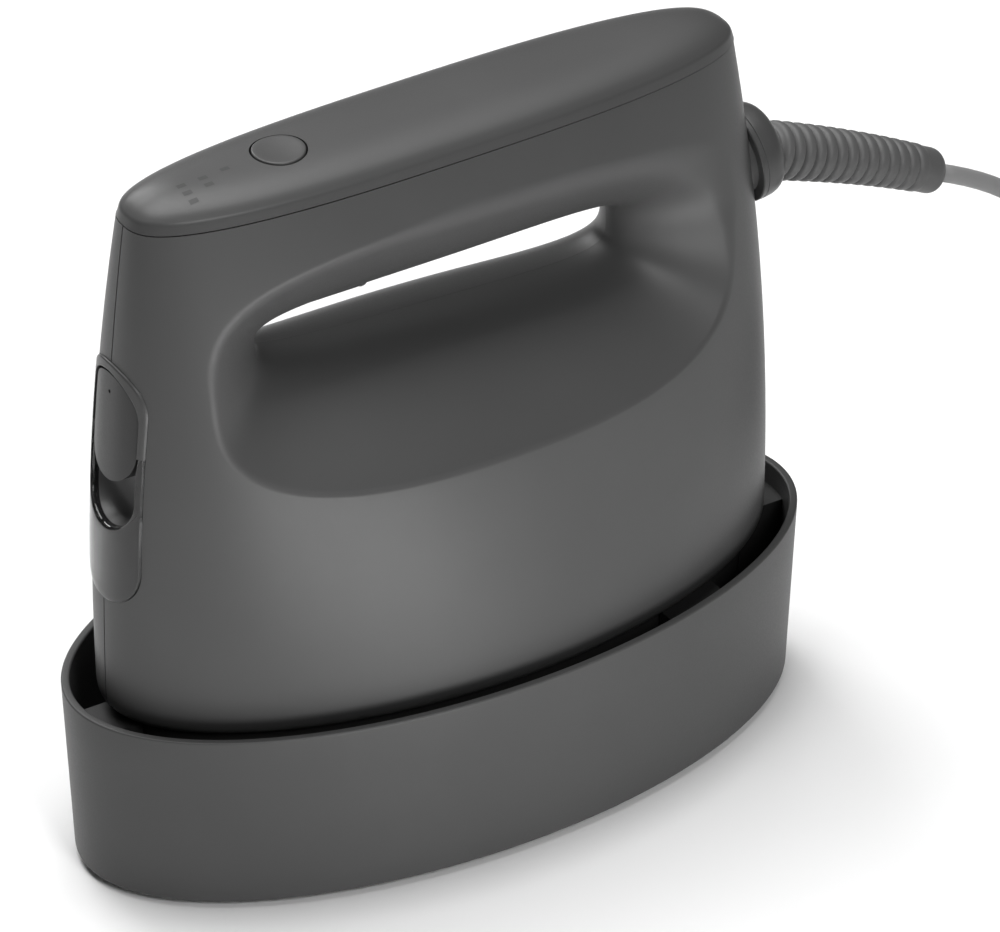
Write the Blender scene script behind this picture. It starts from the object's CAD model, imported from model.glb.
"""Looks of the garment steamer iron in its stand: camera, cord, shells, materials and studio light."""

import bmesh
import bpy
import math
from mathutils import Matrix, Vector


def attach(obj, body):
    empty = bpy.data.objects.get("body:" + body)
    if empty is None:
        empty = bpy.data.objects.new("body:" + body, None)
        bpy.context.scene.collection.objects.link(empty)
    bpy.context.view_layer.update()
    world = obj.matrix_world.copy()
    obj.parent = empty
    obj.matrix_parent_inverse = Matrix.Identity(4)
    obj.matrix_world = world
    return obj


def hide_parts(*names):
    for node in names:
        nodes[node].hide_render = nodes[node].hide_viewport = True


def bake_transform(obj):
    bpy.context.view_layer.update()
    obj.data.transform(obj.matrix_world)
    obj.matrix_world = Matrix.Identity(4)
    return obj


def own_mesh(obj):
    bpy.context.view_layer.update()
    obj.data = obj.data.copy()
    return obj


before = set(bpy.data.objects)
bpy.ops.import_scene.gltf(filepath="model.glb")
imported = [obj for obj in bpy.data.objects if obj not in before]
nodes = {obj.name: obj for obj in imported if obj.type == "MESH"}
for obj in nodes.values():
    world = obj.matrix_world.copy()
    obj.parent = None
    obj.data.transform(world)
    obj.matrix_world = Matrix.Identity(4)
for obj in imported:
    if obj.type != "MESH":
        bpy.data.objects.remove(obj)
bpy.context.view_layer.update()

MM = 0.001                     # shapes below are written in millimetres and made in metres
FULL_TURN = 2 * math.pi


# ---- camera --------------------------------------------------------------------------------------

CAMERA_AZIMUTH = math.radians(-31.748)
CAMERA_ELEVATION = math.radians(33.42)
CAMERA_DISTANCE = 1613.0
CAMERA_LENS = 287.5
LOOK_HEIGHT = 60.0
LOOK_RIGHT = 13.18             # how far the view's middle is moved along its own right and up
LOOK_UP = 8.343


def make_camera():
    """A long lens, looking down at the nose's side of the object."""
    level = math.cos(CAMERA_ELEVATION)
    rise = math.sin(CAMERA_ELEVATION)
    back = Vector((math.sin(CAMERA_AZIMUTH) * level, -math.cos(CAMERA_AZIMUTH) * level, rise))
    right = (-back).cross(Vector((0, 0, 1))).normalized()
    up = right.cross(-back)
    data = bpy.data.cameras.new("camera")
    data.lens = CAMERA_LENS
    data.sensor_width = 36.0
    data.clip_start = 0.05
    data.clip_end = 20.0
    camera = bpy.data.objects.new("camera", data)
    place = Vector((0, 0, LOOK_HEIGHT)) + back * CAMERA_DISTANCE + right * LOOK_RIGHT + up * LOOK_UP
    camera.location = place * MM
    camera.rotation_mode = "QUATERNION"
    camera.rotation_quaternion = (-back).to_track_quat("-Z", "Y")
    bpy.context.scene.collection.objects.link(camera)
    bpy.context.scene.camera = camera


# ---- mesh helpers --------------------------------------------------------------------------------

def mesh_object(name, points, faces):
    """A mesh object from points in millimetres."""
    mesh = bpy.data.meshes.new(name)
    mesh.from_pydata([Vector(p) * MM for p in points], [], faces)
    mesh.validate()
    thing = bpy.data.objects.new(name, mesh)
    bpy.context.scene.collection.objects.link(thing)
    shell = bmesh.new()
    shell.from_mesh(mesh)
    bmesh.ops.remove_doubles(shell, verts=shell.verts, dist=1e-7)
    bmesh.ops.recalc_face_normals(shell, faces=shell.faces)
    shell.to_mesh(mesh)
    shell.free()
    mesh.polygons.foreach_set("use_smooth", [True] * len(mesh.polygons))
    return thing


def grid_faces(rows, columns, closed=False, start=0):
    """Quads of a grid stored row by row; closed joins each row's last column to its first."""
    faces = []
    span = columns if closed else columns - 1
    for r in range(rows - 1):
        for c in range(span):
            a = start + r * columns + c
            b = start + r * columns + (c + 1) % columns
            faces.append((a, b, b + columns, a + columns))
    return faces


def loops_object(name, loops, cap_start=True, cap_end=True):
    """A closed skin through loops of equal count, with its ends filled."""
    columns = len(loops[0])
    points = [p for loop in loops for p in loop]
    faces = grid_faces(len(loops), columns, closed=True)
    if cap_start:
        faces.append(tuple(range(columns)))
    if cap_end:
        last = (len(loops) - 1) * columns
        faces.append(tuple(range(last, last + columns)))
    return mesh_object(name, points, faces)


def apply_modifiers(thing):
    """Replace a mesh by what its modifiers make of it."""
    graph = bpy.context.evaluated_depsgraph_get()
    made = bpy.data.meshes.new_from_object(thing.evaluated_get(graph))
    thing.modifiers.clear()
    thing.data = made


def thicken(thing, thickness, offset):
    """Turn a surface into a wall; offset is -1 when the surface is the wall's outside."""
    wall = thing.modifiers.new("wall", "SOLIDIFY")
    wall.thickness = thickness * MM
    wall.offset = offset
    apply_modifiers(thing)


def cut_away(thing, cutters):
    """Subtract closed cutter objects from a piece, then delete the cutters."""
    for cutter in cutters:
        change = thing.modifiers.new("cut", "BOOLEAN")
        change.operation = "DIFFERENCE"
        change.solver = "EXACT"
        change.object = cutter
    bpy.context.view_layer.update()
    apply_modifiers(thing)
    for cutter in cutters:
        bpy.data.objects.remove(cutter)


def smooth_by_angle(thing, degrees):
    """Smooth shading with crisp edges where faces meet at more than an angle."""
    mesh = thing.data
    mesh.polygons.foreach_set("use_smooth", [True] * len(mesh.polygons))
    shell = bmesh.new()
    shell.from_mesh(mesh)
    limit = math.radians(degrees)
    for edge in shell.edges:
        edge.smooth = len(edge.link_faces) == 2 and edge.calc_face_angle(0.0) < limit
    shell.to_mesh(mesh)
    shell.free()


def finish_piece(thing, body, material, replaced=()):
    """Give a new piece its material, body, record slot and the CAD nodes it stands for."""
    thing.data.materials.clear()
    thing.data.materials.append(material)
    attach(thing, body)
    if replaced:
        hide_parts(*replaced)


# ---- body surface --------------------------------------------------------------------------------

BODY_LOW = 44.0                # heights between which the body's formulas run
BODY_HIGH = 150.1
BODY_HALF_LENGTH = 76.75       # at BODY_LOW
BODY_HALF_WIDTH = 34.8
SHELL_BOTTOM = 37.6
SHELL_SKIN = 1.8               # thickness of the shells' visual wall
LOWER_EDGE_RADIUS = 4.6
LOWER_EDGE_START = 41.74       # height above which the lower edge's rounding has ended
PARTING_HEIGHT = 150.1         # plane between the shells and the cap, at mid-length
PARTING_RISE = 0.011           # its slope towards the cord end
PARTING_GAP = 0.2
SEAM = 0.15                    # half the gap between the half shells, outside and in the scoops
SCOOP_SEAM = 0.02


def rounded_unit(turn, power):
    """A point of the unit superellipse of this power, in the direction of turn."""
    c = math.cos(turn)
    s = math.sin(turn)
    reach = (abs(c) ** power + abs(s) ** power) ** (-1.0 / power)
    return c * reach, s * reach


def body_share(z):
    """How far up the body a height is, 0 at BODY_LOW and 1 at BODY_HIGH."""
    return (z - BODY_LOW) / (BODY_HIGH - BODY_LOW)


def body_length(z):
    """Half length of the body at a height."""
    u = body_share(z)
    return BODY_HALF_LENGTH - 0.44 * u - 7.3 * u * u


def body_width(z):
    """Half width of the body at a height."""
    u = body_share(z)
    return BODY_HALF_WIDTH - 9.25 * u - 10.68 * u * u


def body_power(z):
    """Squareness of the body's section at a height."""
    return 1.97 + 0.76 * body_share(z)


def body_shift(z):
    """Where the section's middle is along X."""
    return 0.05 - 0.61 * body_share(z)


def nose_x(z):
    """The nose's edge in the middle plane."""
    return body_shift(z) - body_length(z)


def tail_x(z):
    """The cord end's edge in the middle plane."""
    return body_shift(z) + body_length(z)


def edge_inset(z):
    """How far the rounded lower edge stands inside the body's surface."""
    drop = max(0.0, LOWER_EDGE_START - z)
    return LOWER_EDGE_RADIUS - math.sqrt(LOWER_EDGE_RADIUS ** 2 - drop ** 2)


def body_point(turn, z, side):
    """A point of the body's outside; turn is 0 at the cord end and pi at the nose."""
    c, s = rounded_unit(turn, body_power(z))
    inset = edge_inset(z)
    return Vector((body_shift(z) + (body_length(z) - inset) * c, side * (body_width(z) - inset) * s, z))


# ---- scoops and finger hole ----------------------------------------------------------------------

HOLE_X = -1.0                  # finger hole in the middle plane
HOLE_HALF_LENGTH = 41.4
HOLE_FLOOR = 109.8
HOLE_FLOOR_TILT = -0.048       # slopes of its floor and ceiling towards the cord end
HOLE_CEILING = 122.1
HOLE_CEILING_TILT = 0.010
HOLE_POWER = 4.5
RIM_X = 0.1                    # scoop's rim on the body's sides
RIM_Z = 114.0
RIM_HALF_LENGTH = 59.6
RIM_HALF_HEIGHT = 25.3
RIM_POWER = 3.1
CEILING_CURVE = 2.4            # powers of the curves from the hole's edge out to the rim
END_CURVE = 2.0


def bisect(function, low, high, steps=30):
    """Where a rising function passes zero."""
    for _ in range(steps):
        middle = (low + high) / 2
        if function(middle) > 0:
            high = middle
        else:
            low = middle
    return (low + high) / 2


def hole_edge(turn):
    """The finger hole's edge in the middle plane as (x, z)."""
    c, s = rounded_unit(turn, HOLE_POWER)
    x = HOLE_X + HOLE_HALF_LENGTH * c
    middle = (HOLE_FLOOR + HOLE_CEILING) / 2
    if s > 0:
        return x, middle + (HOLE_CEILING + HOLE_CEILING_TILT * x - middle) * s
    return x, middle + (middle - HOLE_FLOOR - HOLE_FLOOR_TILT * x) * s


def rim_edge(turn):
    """The scoop's rim as (x, z), seen from the side."""
    c, s = rounded_unit(turn, RIM_POWER)
    return RIM_X + RIM_HALF_LENGTH * c, RIM_Z + RIM_HALF_HEIGHT * s


def rim_depth(turn):
    """Distance of the scoop's rim from the middle plane."""
    x, z = rim_edge(turn)
    power = body_power(z)
    share = abs(x - body_shift(z)) / body_length(z)
    return body_width(z) * (1 - share ** power) ** (1 / power)


def scoop_point(turn, depth, side):
    """A point of the scoop's wall; depth is the distance from the middle plane."""
    up = max(0.0, math.sin(turn)) ** 1.5
    down = max(0.0, -math.sin(turn)) ** 1.5
    t = depth / rim_depth(turn)
    out = up * t ** CEILING_CURVE + down * t ** 3 * (2 - t ** 2) + (1 - up - down) * t ** END_CURVE
    hole = hole_edge(turn)
    rim = rim_edge(turn)
    return Vector((hole[0] + (rim[0] - hole[0]) * out, side * depth, hole[1] + (rim[1] - hole[1]) * out))


RIM_ROUNDING = [               # (turn in degrees, how far the rim's rounding reaches each way)
    (0, 2.0), (18, 3.6), (40, 6.5), (65, 5.0), (90, 3.0), (130, 2.4), (160, 1.8), (180, 1.5), (215, 1.3),
    (260, 1.1), (310, 1.1), (345, 1.3), (360, 2.0),
]


def rim_rounding(turn):
    """How far the rim's rounding reaches each way at a turn."""
    degrees = math.degrees(turn) % 360
    for (a, low), (b, high) in zip(RIM_ROUNDING, RIM_ROUNDING[1:]):
        if a <= degrees <= b:
            share = (degrees - a) / (b - a)
            share = share * share * (3 - 2 * share)
            return low + (high - low) * share
    return RIM_ROUNDING[0][1]


# ---- half shells ---------------------------------------------------------------------------------

SCOOP_ROWS = 18                # rows of the mesh in the scoop, on the rim's rounding and on the body
RIM_ROWS = 9
BODY_ROWS = 34
SPAN_COLUMNS = {"tail": 46, "top": 84, "nose": 60, "bottom": 84}
EASE_START = 0.35              # part of a cosine wave that is skipped, so that rows crowd only at the border


def outer_place(a, b, side):
    """A point of the half shell by shares: a from cord end to nose, b from lower edge to cap."""
    z = SHELL_BOTTOM + b * (PARTING_HEIGHT - SHELL_BOTTOM)
    first = SEAM / (body_width(z) - edge_inset(z))
    turn = first + a * (math.pi - 2 * first)
    x = body_point(turn, z, side).x
    z += b * PARTING_RISE * x
    return body_point(turn, z, side)


def shares_of(point):
    """Shares (a, b) of a point on the body's surface."""
    b = (point.z - SHELL_BOTTOM) / (PARTING_HEIGHT + PARTING_RISE * point.x - SHELL_BOTTOM)
    across = abs(point.y) / body_width(point.z)
    along = (point.x - body_shift(point.z)) / body_length(point.z)
    return math.atan2(across, along) / math.pi, b


def rim_shares(turn):
    """Shares (a, b) of the scoop's rim at a turn."""
    return shares_of(scoop_point(turn, rim_depth(turn), -1))


def turn_towards(a, b, centre):
    """The scoop turn whose rim point lies in the direction of a border corner, seen from the scoop's middle."""
    wanted = math.atan2(b - centre[1], -(a - centre[0]))

    def overshoot(turn):
        share_a, share_b = rim_shares(turn)
        angle = math.atan2(share_b - centre[1], -(share_a - centre[0]))
        return (angle - wanted + math.pi) % FULL_TURN - math.pi

    return bisect(overshoot, wanted - 0.9, wanted + 0.9)


def border_columns():
    """Turns round the scoop with the border shares that each one runs out to."""
    above = rim_shares(math.radians(90))
    below = rim_shares(math.radians(270))
    centre = (0.5, (above[1] + below[1]) / 2)
    corners = [(0.0, 0.0), (0.0, 1.0), (1.0, 1.0), (1.0, 0.0)]
    turns = [turn_towards(a, b, centre) for a, b in corners]
    while turns[0] > turns[1]:
        turns[0] -= FULL_TURN
    for k in (2, 3):
        while turns[k] < turns[k - 1]:
            turns[k] += FULL_TURN
    turns.append(turns[0] + FULL_TURN)
    corners.append(corners[0])
    columns = []
    for k, count in enumerate(SPAN_COLUMNS.values()):
        for j in range(count):
            share = j / count
            turn = turns[k] + (turns[k + 1] - turns[k]) * share
            a = corners[k][0] + (corners[k + 1][0] - corners[k][0]) * share
            b = corners[k][1] + (corners[k + 1][1] - corners[k][1]) * share
            columns.append((turn, a, b))
    return columns


def shell_profile(turn, a, b, side):
    """Points from the finger hole's middle, over the rim, to the shell's border."""
    depth = rim_depth(turn)
    rim = scoop_point(turn, depth, side)
    rim_a, rim_b = shares_of(rim)
    reach = rim_rounding(turn)

    def along_scoop(share):
        return scoop_point(turn, depth + (SCOOP_SEAM - depth) * share, side)

    def along_body(share):
        return outer_place(rim_a + (a - rim_a) * share, rim_b + (b - rim_b) * share, side)

    rim_on_body = along_body(0.0)
    back = bisect(lambda share: (along_scoop(share) - rim).length - reach, 0.0, 0.8)
    on = bisect(lambda share: (along_body(share) - rim_on_body).length - reach, 0.0, 0.8)
    profile = []
    for k in range(SCOOP_ROWS):
        profile.append(along_scoop(1.0 + (back - 1.0) * k / SCOOP_ROWS))
    start = along_scoop(back)
    end = along_body(on)
    for k in range(RIM_ROWS):
        t = k / RIM_ROWS
        profile.append(start * (1 - t) ** 2 + rim * (2 * t * (1 - t)) + end * t ** 2)
    for k in range(BODY_ROWS + 1):
        ease = (1 - math.cos(math.pi * (EASE_START + (1 - EASE_START) * k / BODY_ROWS))) / 2
        first = (1 - math.cos(math.pi * EASE_START)) / 2
        share = (ease - first) / (1 - first)
        profile.append(along_body(on + (1.0 - on) * share))
    return profile


# ---- openings in the shells ----------------------------------------------------------------------

INSERT_POWER = 2.3             # squareness of the insert's round ends
COLLAR_TILT = math.radians(6.0)
COLLAR_CENTRE_Z = 120.5
BORE_RADIUS = 8.2
WINDOW_TOP = 119.5
WINDOW_BOTTOM = 66.0
WINDOW_HALF_WIDTH = 9.8
TRIGGER_X = -26.0
TRIGGER_LENGTH = 21.0
TRIGGER_WIDTH = 9.6
TRIGGER_GAP = 0.4


def slot_end(turn, half_width, power):
    """A point of a slot's end; it is round for a power of 2 and squarer above."""
    c, s = rounded_unit(turn, power)
    return half_width * c, half_width * s


def slot_prism(half_width, low, high, x0, x1, count=64):
    """A block through the nose whose outline is a slot with full ends."""
    outline = []
    for k in range(count):
        turn = FULL_TURN * k / count
        y, up = slot_end(turn, half_width, INSERT_POWER)
        outline.append((y, up + (high - half_width if up >= 0 else low + half_width)))
    loops = [[(x, y, z) for y, z in outline] for x in (x0, x1)]
    return loops_object("cutter", loops)


def round_bar(radius, start, axis, length, count=48):
    """A round bar along a direction."""
    axis = Vector(axis).normalized()
    across = axis.orthogonal().normalized()
    other = axis.cross(across)
    loops = []
    for along in (0.0, length):
        centre = Vector(start) + axis * along
        loops.append([centre + across * (radius * math.cos(FULL_TURN * k / count))
                      + other * (radius * math.sin(FULL_TURN * k / count)) for k in range(count)])
    return loops_object("cutter", loops)


def trigger_slot_cutter():
    """The opening for the trigger in the grip's underside."""
    radius = TRIGGER_WIDTH / 2 + TRIGGER_GAP
    straight = TRIGGER_LENGTH / 2 + TRIGGER_GAP - radius
    loops = []
    for z in (HOLE_CEILING - 4.0, HOLE_CEILING + 5.0):
        loop = []
        for k in range(40):
            turn = FULL_TURN * k / 40
            middle = straight if math.cos(turn) >= 0 else -straight
            loop.append((TRIGGER_X + middle + radius * math.cos(turn), radius * math.sin(turn), z))
        loops.append(loop)
    return loops_object("cutter", loops)


def shell_cutters():
    """What is cut from both half shells: the insert's slot, the collar's bore and the trigger's opening."""
    out = (math.cos(COLLAR_TILT), 0, math.sin(COLLAR_TILT))
    seat = Vector((tail_x(COLLAR_CENTRE_Z), 0, COLLAR_CENTRE_Z)) - Vector(out) * 12.0
    return [
        slot_prism(WINDOW_HALF_WIDTH + 0.1, WINDOW_BOTTOM - 0.1, WINDOW_TOP + 0.1, -82.0, -56.0),
        round_bar(BORE_RADIUS, seat, out, 20.0),
        trigger_slot_cutter(),
    ]


def make_shell(name, side, node):
    """One half shell: outside, scoop and rounded rim in one skin, with the wall's thickness."""
    columns = border_columns()
    profiles = [shell_profile(turn, a, b, side) for turn, a, b in columns]
    rows = len(profiles[0])
    points = [profiles[c][r] for r in range(rows) for c in range(len(profiles))]
    thing = mesh_object(name, points, grid_faces(rows, len(profiles), closed=True))
    middle = thing.data.polygons[len(thing.data.polygons) // 2]
    outward = Vector((0, side, 0))
    if middle.normal.dot(outward) < 0:
        thing.data.flip_normals()
    thicken(thing, SHELL_SKIN, -1.0)
    cut_away(thing, shell_cutters())
    smooth_by_angle(thing, 40.0)
    finish_piece(thing, "iron", materials["shell"], [node])


# ---- top cap, button and level marks -------------------------------------------------------------

CAP_CROWN = 5.6
CAP_SKIN = 1.9                 # thickness of the cap's visual wall
CROWN_REACH = 14.9             # the crown's full height is reached this far in from the cap's edge
BUTTON_X = -34.9
BUTTON_RADIUS = 5.4
BUTTON_GAP = 0.35
CAP_EDGE = [(0.0, 0.0), (0.15, 0.54), (0.3, 1.08), (0.45, 1.62)]     # (in from outline, up): upright band
CAP_CORNER = [(0.45, 1.62), (0.613, 2.21), (1.0, 2.52)]              # crease above it, a quadratic curve
CAP_INSETS = [1.5, 2.0, 2.6, 3.4, 4.2, 5.2, 6.4, 7.6, 9.0, 10.4, 11.6, 12.6, 13.4, 14.1, 14.6]


def quadratic(a, b, c, t):
    """A point of a quadratic curve between a and c that b pulls."""
    return tuple(p * (1 - t) ** 2 + q * 2 * t * (1 - t) + r * t ** 2 for p, q, r in zip(a, b, c))


def crown_height(inset):
    """Height of the cap's outside over the parting plane, by distance in from its edge."""
    share = min(1.0, inset / CROWN_REACH)
    return CAP_CROWN * (1 - (1 - share) ** 2.6) ** (1 / 2.2)


def cap_loop(inset, rise, count=220):
    """The cap's outline, moved in by inset, in a plane parallel to the parting plane."""
    z = PARTING_HEIGHT
    loop = []
    for k in range(count):
        c, s = rounded_unit(FULL_TURN * k / count, body_power(z))
        x = body_shift(z) + (body_length(z) - inset) * c
        y = max(0.0, body_width(z) - inset) * s
        loop.append(Vector((x, y, z + PARTING_GAP + rise + PARTING_RISE * x)))
    return loop


def crown_top(x, y):
    """Height of the cap's outside at a place."""
    z = PARTING_HEIGHT
    power = body_power(z)

    def past(inset):
        share_x = abs(x - body_shift(z)) / (body_length(z) - inset)
        share_y = abs(y) / max(1e-6, body_width(z) - inset)
        return share_x ** power + share_y ** power - 1.0

    inset = bisect(past, 0.0, body_width(z))
    return z + PARTING_GAP + PARTING_RISE * x + crown_height(inset)


def make_cap():
    """The crowned top cap with its upright edge band, its crease and the button's hole."""
    profile = CAP_EDGE + [quadratic(*CAP_CORNER, k / 6) for k in range(1, 7)]
    profile += [(inset, crown_height(inset)) for inset in CAP_INSETS]
    loops = [cap_loop(inset, rise) for inset, rise in profile]
    loops.append(cap_loop(body_width(PARTING_HEIGHT), CAP_CROWN))
    cap = loops_object("cap_top", loops, cap_start=False, cap_end=False)
    highest = max(cap.data.polygons, key=lambda face: face.center.z)
    if highest.normal.z < 0:
        cap.data.flip_normals()
    thicken(cap, CAP_SKIN, -1.0)
    cut_away(cap, [round_bar(BUTTON_RADIUS + BUTTON_GAP, (BUTTON_X, 0, 145.0), (0, 0, 1), 20.0, count=96)])
    smooth_by_angle(cap, 32.0)
    finish_piece(cap, "iron", materials["cap"], ["top_cap"])


def make_button():
    """A round push button that follows the crown, faintly dished, with a softened edge."""
    rounding = 0.35
    dish = 0.28
    proud = 0.22
    rows = [(BUTTON_RADIUS * k / 10, -dish * (1 - (k / 9) ** 2)) for k in range(1, 9)]
    for k in range(6):
        turn = math.pi / 2 * k / 5
        edge = BUTTON_RADIUS - rounding + rounding * math.sin(turn)
        rows.append((edge, -rounding + rounding * math.cos(turn)))
    rows += [(BUTTON_RADIUS, -1.2), (BUTTON_RADIUS, -2.4)]
    loops = []
    for radius, lower in rows:
        loop = []
        for k in range(72):
            turn = FULL_TURN * k / 72
            x = BUTTON_X + radius * math.cos(turn)
            y = radius * math.sin(turn)
            loop.append(Vector((x, y, crown_top(x, y) + proud + lower)))
        loops.append(loop)
    button = loops_object("round_button", loops)
    smooth_by_angle(button, 50.0)
    finish_piece(button, "button", materials["cap"], ["power_button"])


def make_level_marks():
    """One, two and three printed strokes on the cap in front of the button, for the three steam levels."""
    long = 1.9
    wide = 1.1
    spacing = 2.4
    ink = 0.03
    points = []
    faces = []
    for count, x, y in ((1, -47.3, -0.6), (2, -52.5, -2.4), (3, -57.4, -3.8)):
        for k in range(count):
            middle = y + spacing * (k - (count - 1) / 2)
            start = len(points)
            for i in range(4):
                for j in range(3):
                    px = x + long * (i / 3 - 0.5)
                    py = middle + wide * (j / 2 - 0.5)
                    points.append((px, py, crown_top(px, py) + ink))
            faces += grid_faces(4, 3, start=start)
    marks = mesh_object("level_marks", points, faces)
    finish_piece(marks, "iron", materials["print"])


# ---- stand ---------------------------------------------------------------------------------------

STAND_HALF_LENGTH = 84.0       # at the rim
STAND_HALF_WIDTH = 41.1
STAND_HEIGHT = 41.4
STAND_TAPER = 1.85             # how much the foot of the wall stands inside the rim, all round
STAND_WALL = 1.8
STAND_FLOOR_TOP = 3.0
STAND_UNDERSIDE = 0.8


def tray_loop(inset, z, count=200):
    """The tapered stand's oval at a height, moved in by inset."""
    inward = inset + STAND_TAPER * (1 - z / STAND_HEIGHT)
    loop = []
    for k in range(count):
        turn = FULL_TURN * k / count
        x = (STAND_HALF_LENGTH - inward) * math.cos(turn)
        loop.append(Vector((x, (STAND_HALF_WIDTH - inward) * math.sin(turn), z)))
    return loop


def quarter(centre, radius, first, last, steps=6):
    """Points (inset, z) of an arc between two angles in degrees."""
    points = []
    for k in range(steps + 1):
        turn = math.radians(first + (last - first) * k / steps)
        points.append((centre[0] + radius * math.cos(turn), centre[1] + radius * math.sin(turn)))
    return points


def make_tray():
    """The oval tray: softened foot, straight tapered wall, flat rim band and a filleted floor."""
    foot = 1.5
    rim = 0.42
    bend = 3.0
    flat = 12.0
    top = STAND_HEIGHT
    floor = STAND_FLOOR_TOP
    wall = STAND_WALL
    profile = [(flat, STAND_UNDERSIDE)]
    profile += quarter((foot, STAND_UNDERSIDE + foot), foot, 270, 180)
    profile += [(0.0, 8.0), (0.0, 20.0), (0.0, 32.0)]
    profile += quarter((rim, top - rim), rim, 180, 90)
    profile += quarter((wall - rim, top - rim), rim, 90, 0)
    profile += [(wall, 32.0), (wall, 20.0), (wall, 10.0)]
    profile += quarter((wall + bend, floor + bend), bend, 180, 270)
    profile += [(flat, floor)]
    loops = [tray_loop(inset, z) for inset, z in profile]
    tray = loops_object("oval_tray", loops)
    smooth_by_angle(tray, 50.0)
    finish_piece(tray, "stand", materials["stand"], ["stand_tray"])


# ---- filler insert in the nose -------------------------------------------------------------------

FRAME_SPLIT = 101.7
OPENING = (8.55, 83.0, 117.65, 2.0)        # (half width, low, high, end power) of the hole in the insert
INSERT = (WINDOW_HALF_WIDTH, WINDOW_BOTTOM, WINDOW_TOP, INSERT_POWER)
INSERT_PROUD = 0.5
INSERT_DEPTH = 1.9


def nose_surface(y, z, inset):
    """A point of the nose's outside at a place (y, z), moved in by inset."""
    power = body_power(z)
    across = min(1.0, abs(y) / (body_width(z) - inset))
    reach = (1 - across ** power) ** (1 / power)
    return Vector((body_shift(z) - (body_length(z) - inset) * reach, y, z))


def slot_path(slot, part):
    """Points (y, z) of a slot's outline: its upper part over the split, or its lower part under it."""
    half, low, high, power = slot
    up = part == "upper"
    centre = high - half if up else low + half
    split = FRAME_SPLIT if up else FRAME_SPLIT - 0.05
    points = [(half, split + (centre - split) * k / 8) for k in range(8)]
    steps = 32
    for k in range(steps + 1):
        y, rise = slot_end(math.pi * k / steps, half, power)
        points.append((y, centre + (rise if up else -rise)))
    points += [(-half, centre + (split - centre) * k / 8) for k in range(1, 9)]
    return points


def edge_section(width, outer_round, inner_round, proud, depth, steps=5, flats=10):
    """Profile (distance in from the outer outline, height) of a band with rounded edges."""
    section = [(0.0, -depth)]
    for k in range(steps + 1):
        turn = math.pi / 2 * k / steps
        across = outer_round * (1 - math.cos(turn))
        section.append((across, proud - outer_round * (1 - math.sin(turn))))
    for k in range(1, flats):
        section.append((outer_round + (width - outer_round - inner_round) * k / flats, proud))
    for k in range(steps + 1):
        turn = math.pi / 2 * k / steps
        across = width - inner_round * (1 - math.sin(turn))
        section.append((across, proud - inner_round * (1 - math.cos(turn))))
    section.append((width, -depth))
    return section


def make_insert_part(name, part, outer_round, inner_round, material, replaced):
    """The insert's band above or below the split."""
    loops = []
    for outer, inner in zip(slot_path(INSERT, part), slot_path(OPENING, part)):
        width = math.dist(outer, inner)
        loop = []
        for distance, height in edge_section(width, outer_round, inner_round, INSERT_PROUD, INSERT_DEPTH):
            share = distance / width
            y = outer[0] + (inner[0] - outer[0]) * share
            z = outer[1] + (inner[1] - outer[1]) * share
            loop.append(nose_surface(y, z, -height))
        loops.append(loop)
    thing = loops_object(name, loops)
    smooth_by_angle(thing, 50.0)
    finish_piece(thing, "iron", materials[material], [replaced])


def make_insert():
    """The dark frame over the split and the smoked window under it."""
    make_insert_part("insert_frame", "upper", 0.4, 0.3, "trim", "window_frame")
    make_insert_part("insert_window", "lower", 0.35, 0.9, "window", "tank_window")


def make_recess():
    """The dished finger recess below the filler lid, one smooth bowl."""
    centre = 91.4
    half_width = 8.5
    tall_up = 5.6
    tall_down = 8.5
    back = nose_x(90.0) + 6.0
    rows = 14
    count = 64
    loops = []
    for r in range(rows):
        rho = 1.0 - r / rows
        loop = []
        for k in range(count):
            turn = FULL_TURN * k / count
            up = max(0.0, math.sin(turn))
            tall = tall_down + (tall_up - tall_down) * up
            y = half_width * math.cos(turn)
            z = centre + tall * math.sin(turn)
            rim = nose_surface(y, z, 1.2 + 2.4 * up).x
            x = rim + (back - rim) * math.sqrt(1 - rho ** 3)
            loop.append(Vector((x, y * rho, centre + (z - centre) * rho)))
        loops.append(loop)
    bowl = loops_object("finger_dish", loops, cap_start=False)
    thicken(bowl, 0.15, 0.0)
    smooth_by_angle(bowl, 50.0)
    finish_piece(bowl, "iron", materials["dish"])


# ---- cord end ------------------------------------------------------------------------------------

RELIEF_START = Vector((78.5, 0.0, 119.3))
RELIEF_TIP = Vector((120.8, 0.0, 100.6))
RELIEF_RADIUS = 6.2
RELIEF_TIP_RADIUS = 4.8
RELIEF_RIBS = 14
RELIEF_ARCH = 0.8              # how far the relief's middle is arched up from a straight line


def circle(centre, up, radius, count):
    """Points round a centre, in the plane of up and the Y axis."""
    loop = []
    for k in range(count):
        turn = FULL_TURN * k / count
        loop.append(centre + (up * math.sin(turn) + Vector((0, 1, 0)) * math.cos(turn)) * radius)
    return loop


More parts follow.
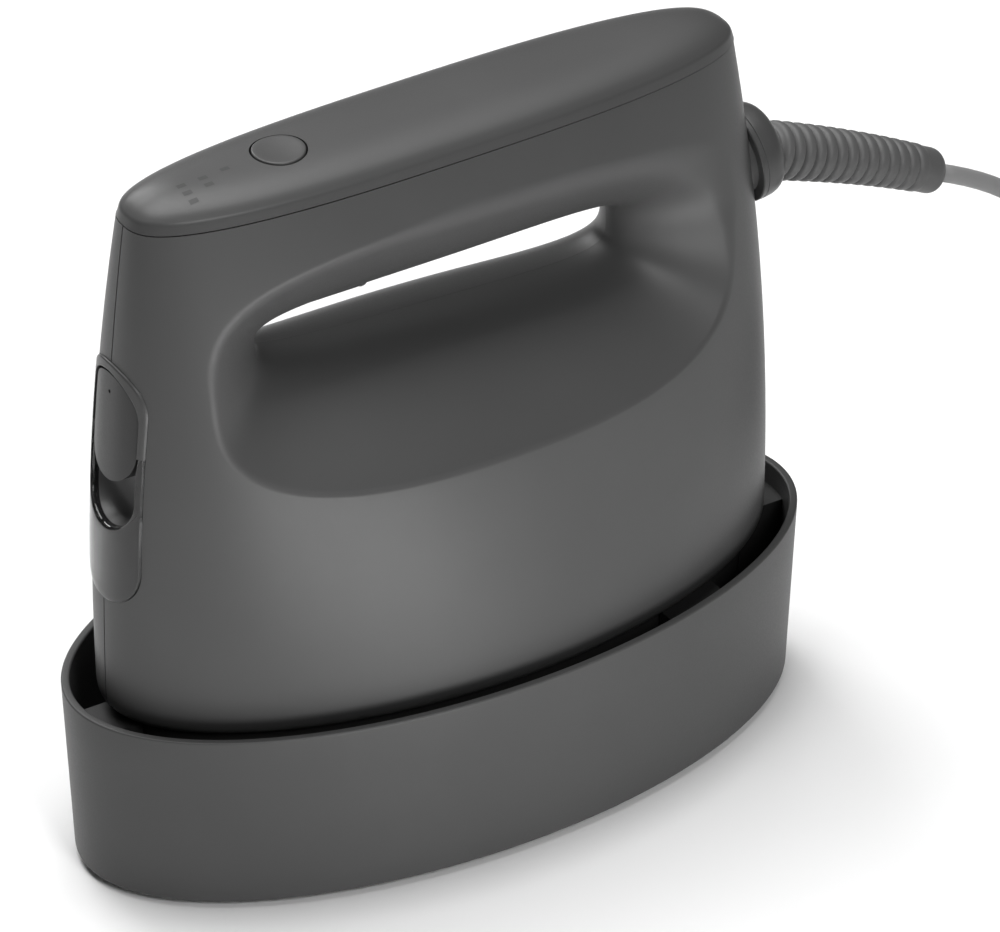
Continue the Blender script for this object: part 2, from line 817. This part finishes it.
def make_collar():
    """The domed collar in the tail, turned about its tilted axis, with a fine groove round its rim."""
    out = Vector((math.cos(COLLAR_TILT), 0, math.sin(COLLAR_TILT)))
    up = Vector((-out.z, 0, out.x))
    seat = Vector((tail_x(COLLAR_CENTRE_Z), 0, COLLAR_CENTRE_Z))
    profile = [(-5.0, 8.0), (-0.6, 8.0), (-0.6, 10.0), (-0.4, 10.2), (0.5, 10.2), (0.62, 10.08),
               (0.74, 10.2), (1.5, 10.2), (1.9, 10.15)]
    for k in range(1, 11):
        turn = math.pi / 2 * k / 10
        profile.append((1.9 + 4.3 * math.sin(turn), 6.4 + 3.75 * math.cos(turn) ** 0.9))
    profile += [(6.2, 5.2), (5.6, 4.9)]
    loops = []
    for along, radius in profile:
        loops.append(circle(seat + out * along, up, radius, 72))
    collar = loops_object("domed_collar", loops)
    smooth_by_angle(collar, 40.0)
    finish_piece(collar, "iron", materials["trim"], ["cord_collar"])


def relief_profile(length):
    """Profile (distance along, radius) of the relief: grooves that fade out towards a smooth round tip."""
    profile = [(-5.0, 4.8), (0.4, 4.8)]
    pitch = (length - 6.0) / RELIEF_RIBS
    for k in range(RELIEF_RIBS):
        start = 0.6 + pitch * k
        share = start / length
        high = RELIEF_RADIUS + (RELIEF_TIP_RADIUS - RELIEF_RADIUS) * share
        groove = 1.3 - 0.95 * share
        for j in range(10):
            t = j / 10
            swell = 1 - abs(2 * t - 1) ** 3.2
            profile.append((start + pitch * t, high - groove * (1 - swell)))
    tip = 2.4
    profile += [(length - 5.0, RELIEF_TIP_RADIUS), (length - tip, RELIEF_TIP_RADIUS)]
    for k in range(1, 8):
        turn = math.pi / 2 * k / 7
        along = length - tip + tip * math.sin(turn)
        profile.append((along, RELIEF_TIP_RADIUS - tip + tip * math.cos(turn)))
    profile.append((length, 1.0))
    return profile


def make_relief():
    """The ribbed strain relief, arched a little."""
    whole = RELIEF_TIP - RELIEF_START
    length = whole.length
    along = whole.normalized()
    up = Vector((-along.z, 0, along.x))
    loops = []
    for distance, radius in relief_profile(length):
        share = max(0.0, distance / length)
        centre = RELIEF_START + along * distance + up * (RELIEF_ARCH * 4 * share * (1 - share))
        loops.append(circle(centre, up, radius, 48))
    relief = loops_object("ribbed_relief", loops)
    smooth_by_angle(relief, 60.0)
    finish_piece(relief, "iron", materials["relief"], ["strain_relief"])
    return relief


# ---- materials -----------------------------------------------------------------------------------

NOISE_LOW = 0.3                # the share of a noise's range that is spread over a material's values
NOISE_HIGH = 0.7

materials = {}


class Nodes:
    """A small wrapper that adds and links shader nodes of one material."""

    def __init__(self, name):
        self.material = bpy.data.materials.new(name)
        self.material.use_nodes = True
        self.tree = self.material.node_tree
        self.shader = self.tree.nodes["Principled BSDF"]
        self.place = self.add("ShaderNodeTexCoord").outputs["Object"]
        materials[name] = self.material

    def add(self, kind):
        return self.tree.nodes.new(kind)

    def link(self, output, target):
        self.tree.links.new(output, target)

    def noise(self, scale, detail, roughness=0.55):
        node = self.add("ShaderNodeTexNoise")
        node.inputs["Scale"].default_value = scale
        node.inputs["Detail"].default_value = detail
        node.inputs["Roughness"].default_value = roughness
        self.link(self.place, node.inputs["Vector"])
        return node.outputs["Fac"]

    def span(self, value, low, high):
        node = self.add("ShaderNodeMapRange")
        node.inputs["From Min"].default_value = NOISE_LOW
        node.inputs["From Max"].default_value = NOISE_HIGH
        node.inputs["To Min"].default_value = low
        node.inputs["To Max"].default_value = high
        self.link(value, node.inputs["Value"])
        return node.outputs["Result"]

    def colours(self, value, first, second):
        ramp = self.add("ShaderNodeValToRGB")
        ramp.color_ramp.elements[0].position = NOISE_LOW
        ramp.color_ramp.elements[0].color = (*first, 1)
        ramp.color_ramp.elements[1].position = NOISE_HIGH
        ramp.color_ramp.elements[1].color = (*second, 1)
        self.link(value, ramp.inputs["Fac"])
        return ramp.outputs["Color"]

    def bump(self, height, strength, distance):
        node = self.add("ShaderNodeBump")
        node.inputs["Strength"].default_value = strength
        node.inputs["Distance"].default_value = distance
        self.link(height, node.inputs["Height"])
        return node.outputs["Normal"]

    def set(self, **values):
        for key, value in values.items():
            self.shader.inputs[key.replace("_", " ")].default_value = value

    def wire(self, **outputs):
        for key, output in outputs.items():
            self.link(output, self.shader.inputs[key.replace("_", " ")])


def grey(value):
    return (value, value, value)


def moulded_plastic(name, shade, roughness, grain=2600.0, depth=0.00002, contrast=0.05):
    """Spark-eroded satin moulding: fine even grain, faint flow marks in the colour and the gloss."""
    n = Nodes(name)
    cloud = n.noise(28.0, 2.0)
    n.wire(Base_Color=n.colours(cloud, grey(shade * (1 - contrast)), grey(shade * (1 + contrast))))
    fine = n.noise(grain, 2.0, 0.6)
    n.wire(Roughness=n.span(fine, roughness - 0.04, roughness + 0.04))
    n.wire(Normal=n.bump(fine, 0.35, depth))
    n.set(Specular_IOR_Level=0.35)
    return n


def make_materials():
    """One procedural material for each finish on the object."""
    moulded_plastic("shell", 0.06, 0.43)
    moulded_plastic("cap", 0.06, 0.40)
    moulded_plastic("stand", 0.050, 0.47)
    moulded_plastic("trim", 0.055, 0.38)
    moulded_plastic("lid", 0.027, 0.42)
    moulded_plastic("black", 0.018, 0.5)
    moulded_plastic("rubber_grey", 0.06, 0.62)
    moulded_plastic("heat_pad", 0.03, 0.65)
    moulded_plastic("relief", 0.085, 0.5)
    moulded_plastic("cord", 0.20, 0.5)
    moulded_plastic("plug", 0.1, 0.48)
    moulded_plastic("tank", 0.05, 0.2)
    moulded_plastic("dish", 0.10, 0.35, grain=300.0, depth=0.000004)
    moulded_plastic("lamp", 0.7, 0.35)
    moulded_plastic("board", 0.08, 0.4)
    moulded_plastic("hose", 0.55, 0.35)
    moulded_plastic("print", 0.036, 0.5)
    for name, shade, roughness in (("steel", 0.55, 0.32), ("aluminium", 0.6, 0.42), ("sole", 0.25, 0.35),
                                   ("brass", 0.5, 0.3), ("blade", 0.7, 0.18)):
        moulded_plastic(name, shade, roughness, depth=0.00001).set(Metallic=1.0)
    window = moulded_plastic("window", 0.09, 0.08, grain=300.0, depth=0.000004)
    window.set(Transmission_Weight=0.85, IOR=1.49)


NODE_MATERIALS = {
    "stand_tray": "stand", "stand_feet": "rubber_grey", "stand_locators": "black", "stand_heat_pads": "heat_pad",
    "sole_plate": "sole", "heat_skirt": "black", "skirt_screws": "steel", "steam_generator": "aluminium",
    "heater_element": "steel", "generator_cover": "aluminium", "cover_screws": "steel", "thermostat": "brass",
    "thermal_fuse": "brass", "left_shell": "shell", "right_shell": "shell", "top_cap": "cap",
    "power_button": "cap", "control_board": "board", "board_screws": "steel", "power_switch": "black",
    "level_lamps": "lamp", "light_guide": "lamp", "steam_trigger": "trim", "trigger_switch": "black",
    "trigger_spring": "steel", "switch_bracket": "steel", "window_frame": "trim", "tank_window": "window",
    "filler_lid": "lid", "lid_hinge_pin": "steel", "lid_gasket": "rubber_grey", "water_tank": "tank",
    "pump": "steel", "pump_yoke": "steel", "pump_cradle": "rubber_grey", "suction_hose": "hose",
    "delivery_hose": "hose", "cord_collar": "trim", "strain_relief": "relief", "cord_clamp": "black",
    "inner_lead": "cord", "cord_tie": "rubber_grey", "cord_coil": "cord", "power_cord": "cord",
    "cord_tail": "cord", "plug_body": "plug", "plug_blades": "blade",
}


def dress_cad_nodes():
    """Every CAD node gets its material."""
    for name, thing in nodes.items():
        thing.data.materials.clear()
        thing.data.materials.append(materials[NODE_MATERIALS[name]])


# ---- cord ----------------------------------------------------------------------------------------

CORD_DIAMETER = 3.8
CORD_ROUTE = [
    (120.8, 0.0, 100.6),
    (131.5, 0.0, 95.87),
    (143.2, -2.5, 87.5),
    (151.5, -8.0, 75.0),
    (157.0, -15.0, 60.0),
    (160.0, -21.5, 45.0),
    (161.5, -25.0, 31.0),
    (163.0, -24.0, 18.5),
    (164.6, -17.6, 7.6),
    (166.0, -6.5, 2.2),
    (166.1, 2.5, 1.9),
    (166.1, 10.0, 1.9),
]
COIL_CENTRE = (194.0, 10.0)
COIL_RADII = (27.9, 24.1, 20.3, 16.5)
COIL_LAYERS = 4
TURN_POINTS = 16
TAIL_ROUTE = [
    (221.9, 10.0, 13.3),
    (221.9, 1.0, 13.1),
    (222.0, -8.0, 11.8),
    (221.7, -17.0, 9.6),
    (217.9, -26.2, 7.6),
    (210.8, -33.3, 6.6),
    (201.8, -37.1, 6.5),
    (193.5, -37.1, 6.5),
]


def coil_points():
    """Turns wound flat in layers, inwards and outwards by turns, each layer a diameter above the last."""
    turns_per_layer = len(COIL_RADII)
    total = COIL_LAYERS * turns_per_layer - 0.5
    pitch = COIL_RADII[0] - COIL_RADII[1]
    count = round(total * TURN_POINTS)
    points = []
    for k in range(1, count):
        turn = k / TURN_POINTS
        layer = min(COIL_LAYERS - 1, int(turn / turns_per_layer))
        inside = turn - layer * turns_per_layer
        step = min(inside, turns_per_layer - 1.0)
        radius = COIL_RADII[0] - pitch * step
        if layer % 2 == 1:
            radius = COIL_RADII[-1] + pitch * step
        lift = max(0.0, inside - (turns_per_layer - 1.0)) if layer < COIL_LAYERS - 1 else 0.0
        height = CORD_DIAMETER * (0.5 + layer + lift)
        angle = math.pi - FULL_TURN * turn
        x = COIL_CENTRE[0] + radius * math.cos(angle)
        points.append((x, COIL_CENTRE[1] + radius * math.sin(angle), height))
    return points


def nurbs_line(points):
    """Points along a smooth NURBS line that has the given control points."""
    data = bpy.data.curves.new("line", "CURVE")
    data.dimensions = "3D"
    spline = data.splines.new("NURBS")
    spline.points.add(len(points) - 1)
    for point, place in zip(spline.points, points):
        point.co = (*(Vector(place) * MM), 1.0)
    spline.order_u = 3
    spline.use_endpoint_u = True
    spline.resolution_u = 5
    line = bpy.data.objects.new("line", data)
    bpy.context.scene.collection.objects.link(line)
    bpy.context.view_layer.update()
    graph = bpy.context.evaluated_depsgraph_get()
    mesh = bpy.data.meshes.new_from_object(line.evaluated_get(graph))
    places = [v.co.copy() for v in mesh.vertices]
    bpy.data.objects.remove(line)
    return places


def tube_loops(places, radius, sides=14):
    """Rings round a line of points, carried along it without twist."""
    loops = []
    across = None
    for k, place in enumerate(places):
        ahead = places[min(k + 1, len(places) - 1)]
        behind = places[max(k - 1, 0)]
        along = (ahead - behind).normalized()
        if across is None:
            across = along.orthogonal().normalized()
        across = (across - along * across.dot(along)).normalized()
        other = along.cross(across)
        turns = [FULL_TURN * j / sides for j in range(sides)]
        loops.append([place + (across * math.cos(t) + other * math.sin(t)) * radius for t in turns])
    return loops


def line_length(places):
    """Length of a line of points."""
    return sum((b - a).length for a, b in zip(places, places[1:]))


def make_cord(relief):
    """The free cord from the strain relief, through its tied coil, to the plug."""
    places = nurbs_line(CORD_ROUTE + coil_points() + TAIL_ROUTE)
    loops = [[p / MM for p in loop] for loop in tube_loops(places, CORD_DIAMETER / 2 * MM)]
    cord = loops_object("mains_cord", loops)
    cord.data.materials.append(materials["cord"])
    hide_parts("power_cord", "cord_coil", "cord_tail")
    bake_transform(cord)
    print("cord length", round(line_length(places), 4))


# ---- trigger spring ------------------------------------------------------------------------------

SPRING_X = -30.5
SPRING_LOW = 127.3
SPRING_HIGH = 134.3
SPRING_RADIUS = 2.2
SPRING_WIRE = 0.3
SPRING_TURNS = 6


def make_spring():
    """The trigger's return spring, which shortens towards its upper end as the trigger goes in."""
    places = []
    steps = 20 * SPRING_TURNS
    for k in range(steps + 1):
        turn = FULL_TURN * SPRING_TURNS * k / steps
        rise = SPRING_WIRE + (SPRING_HIGH - SPRING_LOW - 2 * SPRING_WIRE) * k / steps
        x = SPRING_X + SPRING_RADIUS * math.cos(turn)
        places.append(Vector((x, SPRING_RADIUS * math.sin(turn), SPRING_LOW + rise)))
    spring = loops_object("return_spring", tube_loops(places, SPRING_WIRE, 10))
    finish_piece(spring, "iron", materials["steel"], ["trigger_spring"])
    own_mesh(spring)


# ---- studio --------------------------------------------------------------------------------------

FLOOR_HALF = 4000.0


def area_light(name, place, target, size, power):
    """A soft rectangular light."""
    data = bpy.data.lights.new(name, "AREA")
    data.shape = "RECTANGLE"
    data.size = size[0]
    data.size_y = size[1]
    data.energy = power
    lamp = bpy.data.objects.new(name, data)
    lamp.location = place
    lamp.rotation_mode = "QUATERNION"
    lamp.rotation_quaternion = (Vector(target) - Vector(place)).to_track_quat("-Z", "Y")
    lamp.visible_camera = False
    bpy.context.scene.collection.objects.link(lamp)


def make_studio():
    """A pale floor, an even pale surround and four soft lights."""
    corners = [(sx * FLOOR_HALF, sy * FLOOR_HALF, 0) for sx, sy in ((-1, -1), (1, -1), (1, 1), (-1, 1))]
    floor = mesh_object("floor", corners, [(0, 1, 2, 3)])
    moulded_plastic("paper", 0.88, 0.9, grain=900.0, contrast=0.005)
    floor.data.materials.append(materials["paper"])
    floor.location.z = -0.0002
    world = bpy.data.worlds.new("surround")
    world.use_nodes = True
    world.node_tree.nodes["Background"].inputs["Color"].default_value = (1, 1, 1, 1)
    world.node_tree.nodes["Background"].inputs["Strength"].default_value = 0.05
    bpy.context.scene.world = world
    bpy.context.scene.view_settings.view_transform = "Standard"
    area_light("floor_glow", (-0.02, -0.20, 0.004), (-0.04, -0.03, 0.075), (0.14, 0.08), 0.36)
    area_light("above", (0.0, 0.25, 1.4), (0, 0, 0.0), (1.0, 1.0), 21.0)
    area_light("behind", (0.0, 1.1, 0.85), (0, 0, 0.1), (0.6, 0.6), 7.0)
    area_light("front_key", (-0.1, -1.1, 1.0), (0, 0, 0.08), (0.4, 0.4), 7.0)


# ---- assembly ------------------------------------------------------------------------------------

make_camera()
make_materials()
dress_cad_nodes()
make_cord(make_relief())
make_shell("near_half_shell", -1, "left_shell")
make_shell("far_half_shell", 1, "right_shell")
make_cap()
make_button()
make_level_marks()
make_tray()
make_insert()
make_recess()
make_collar()
make_spring()
make_studio()
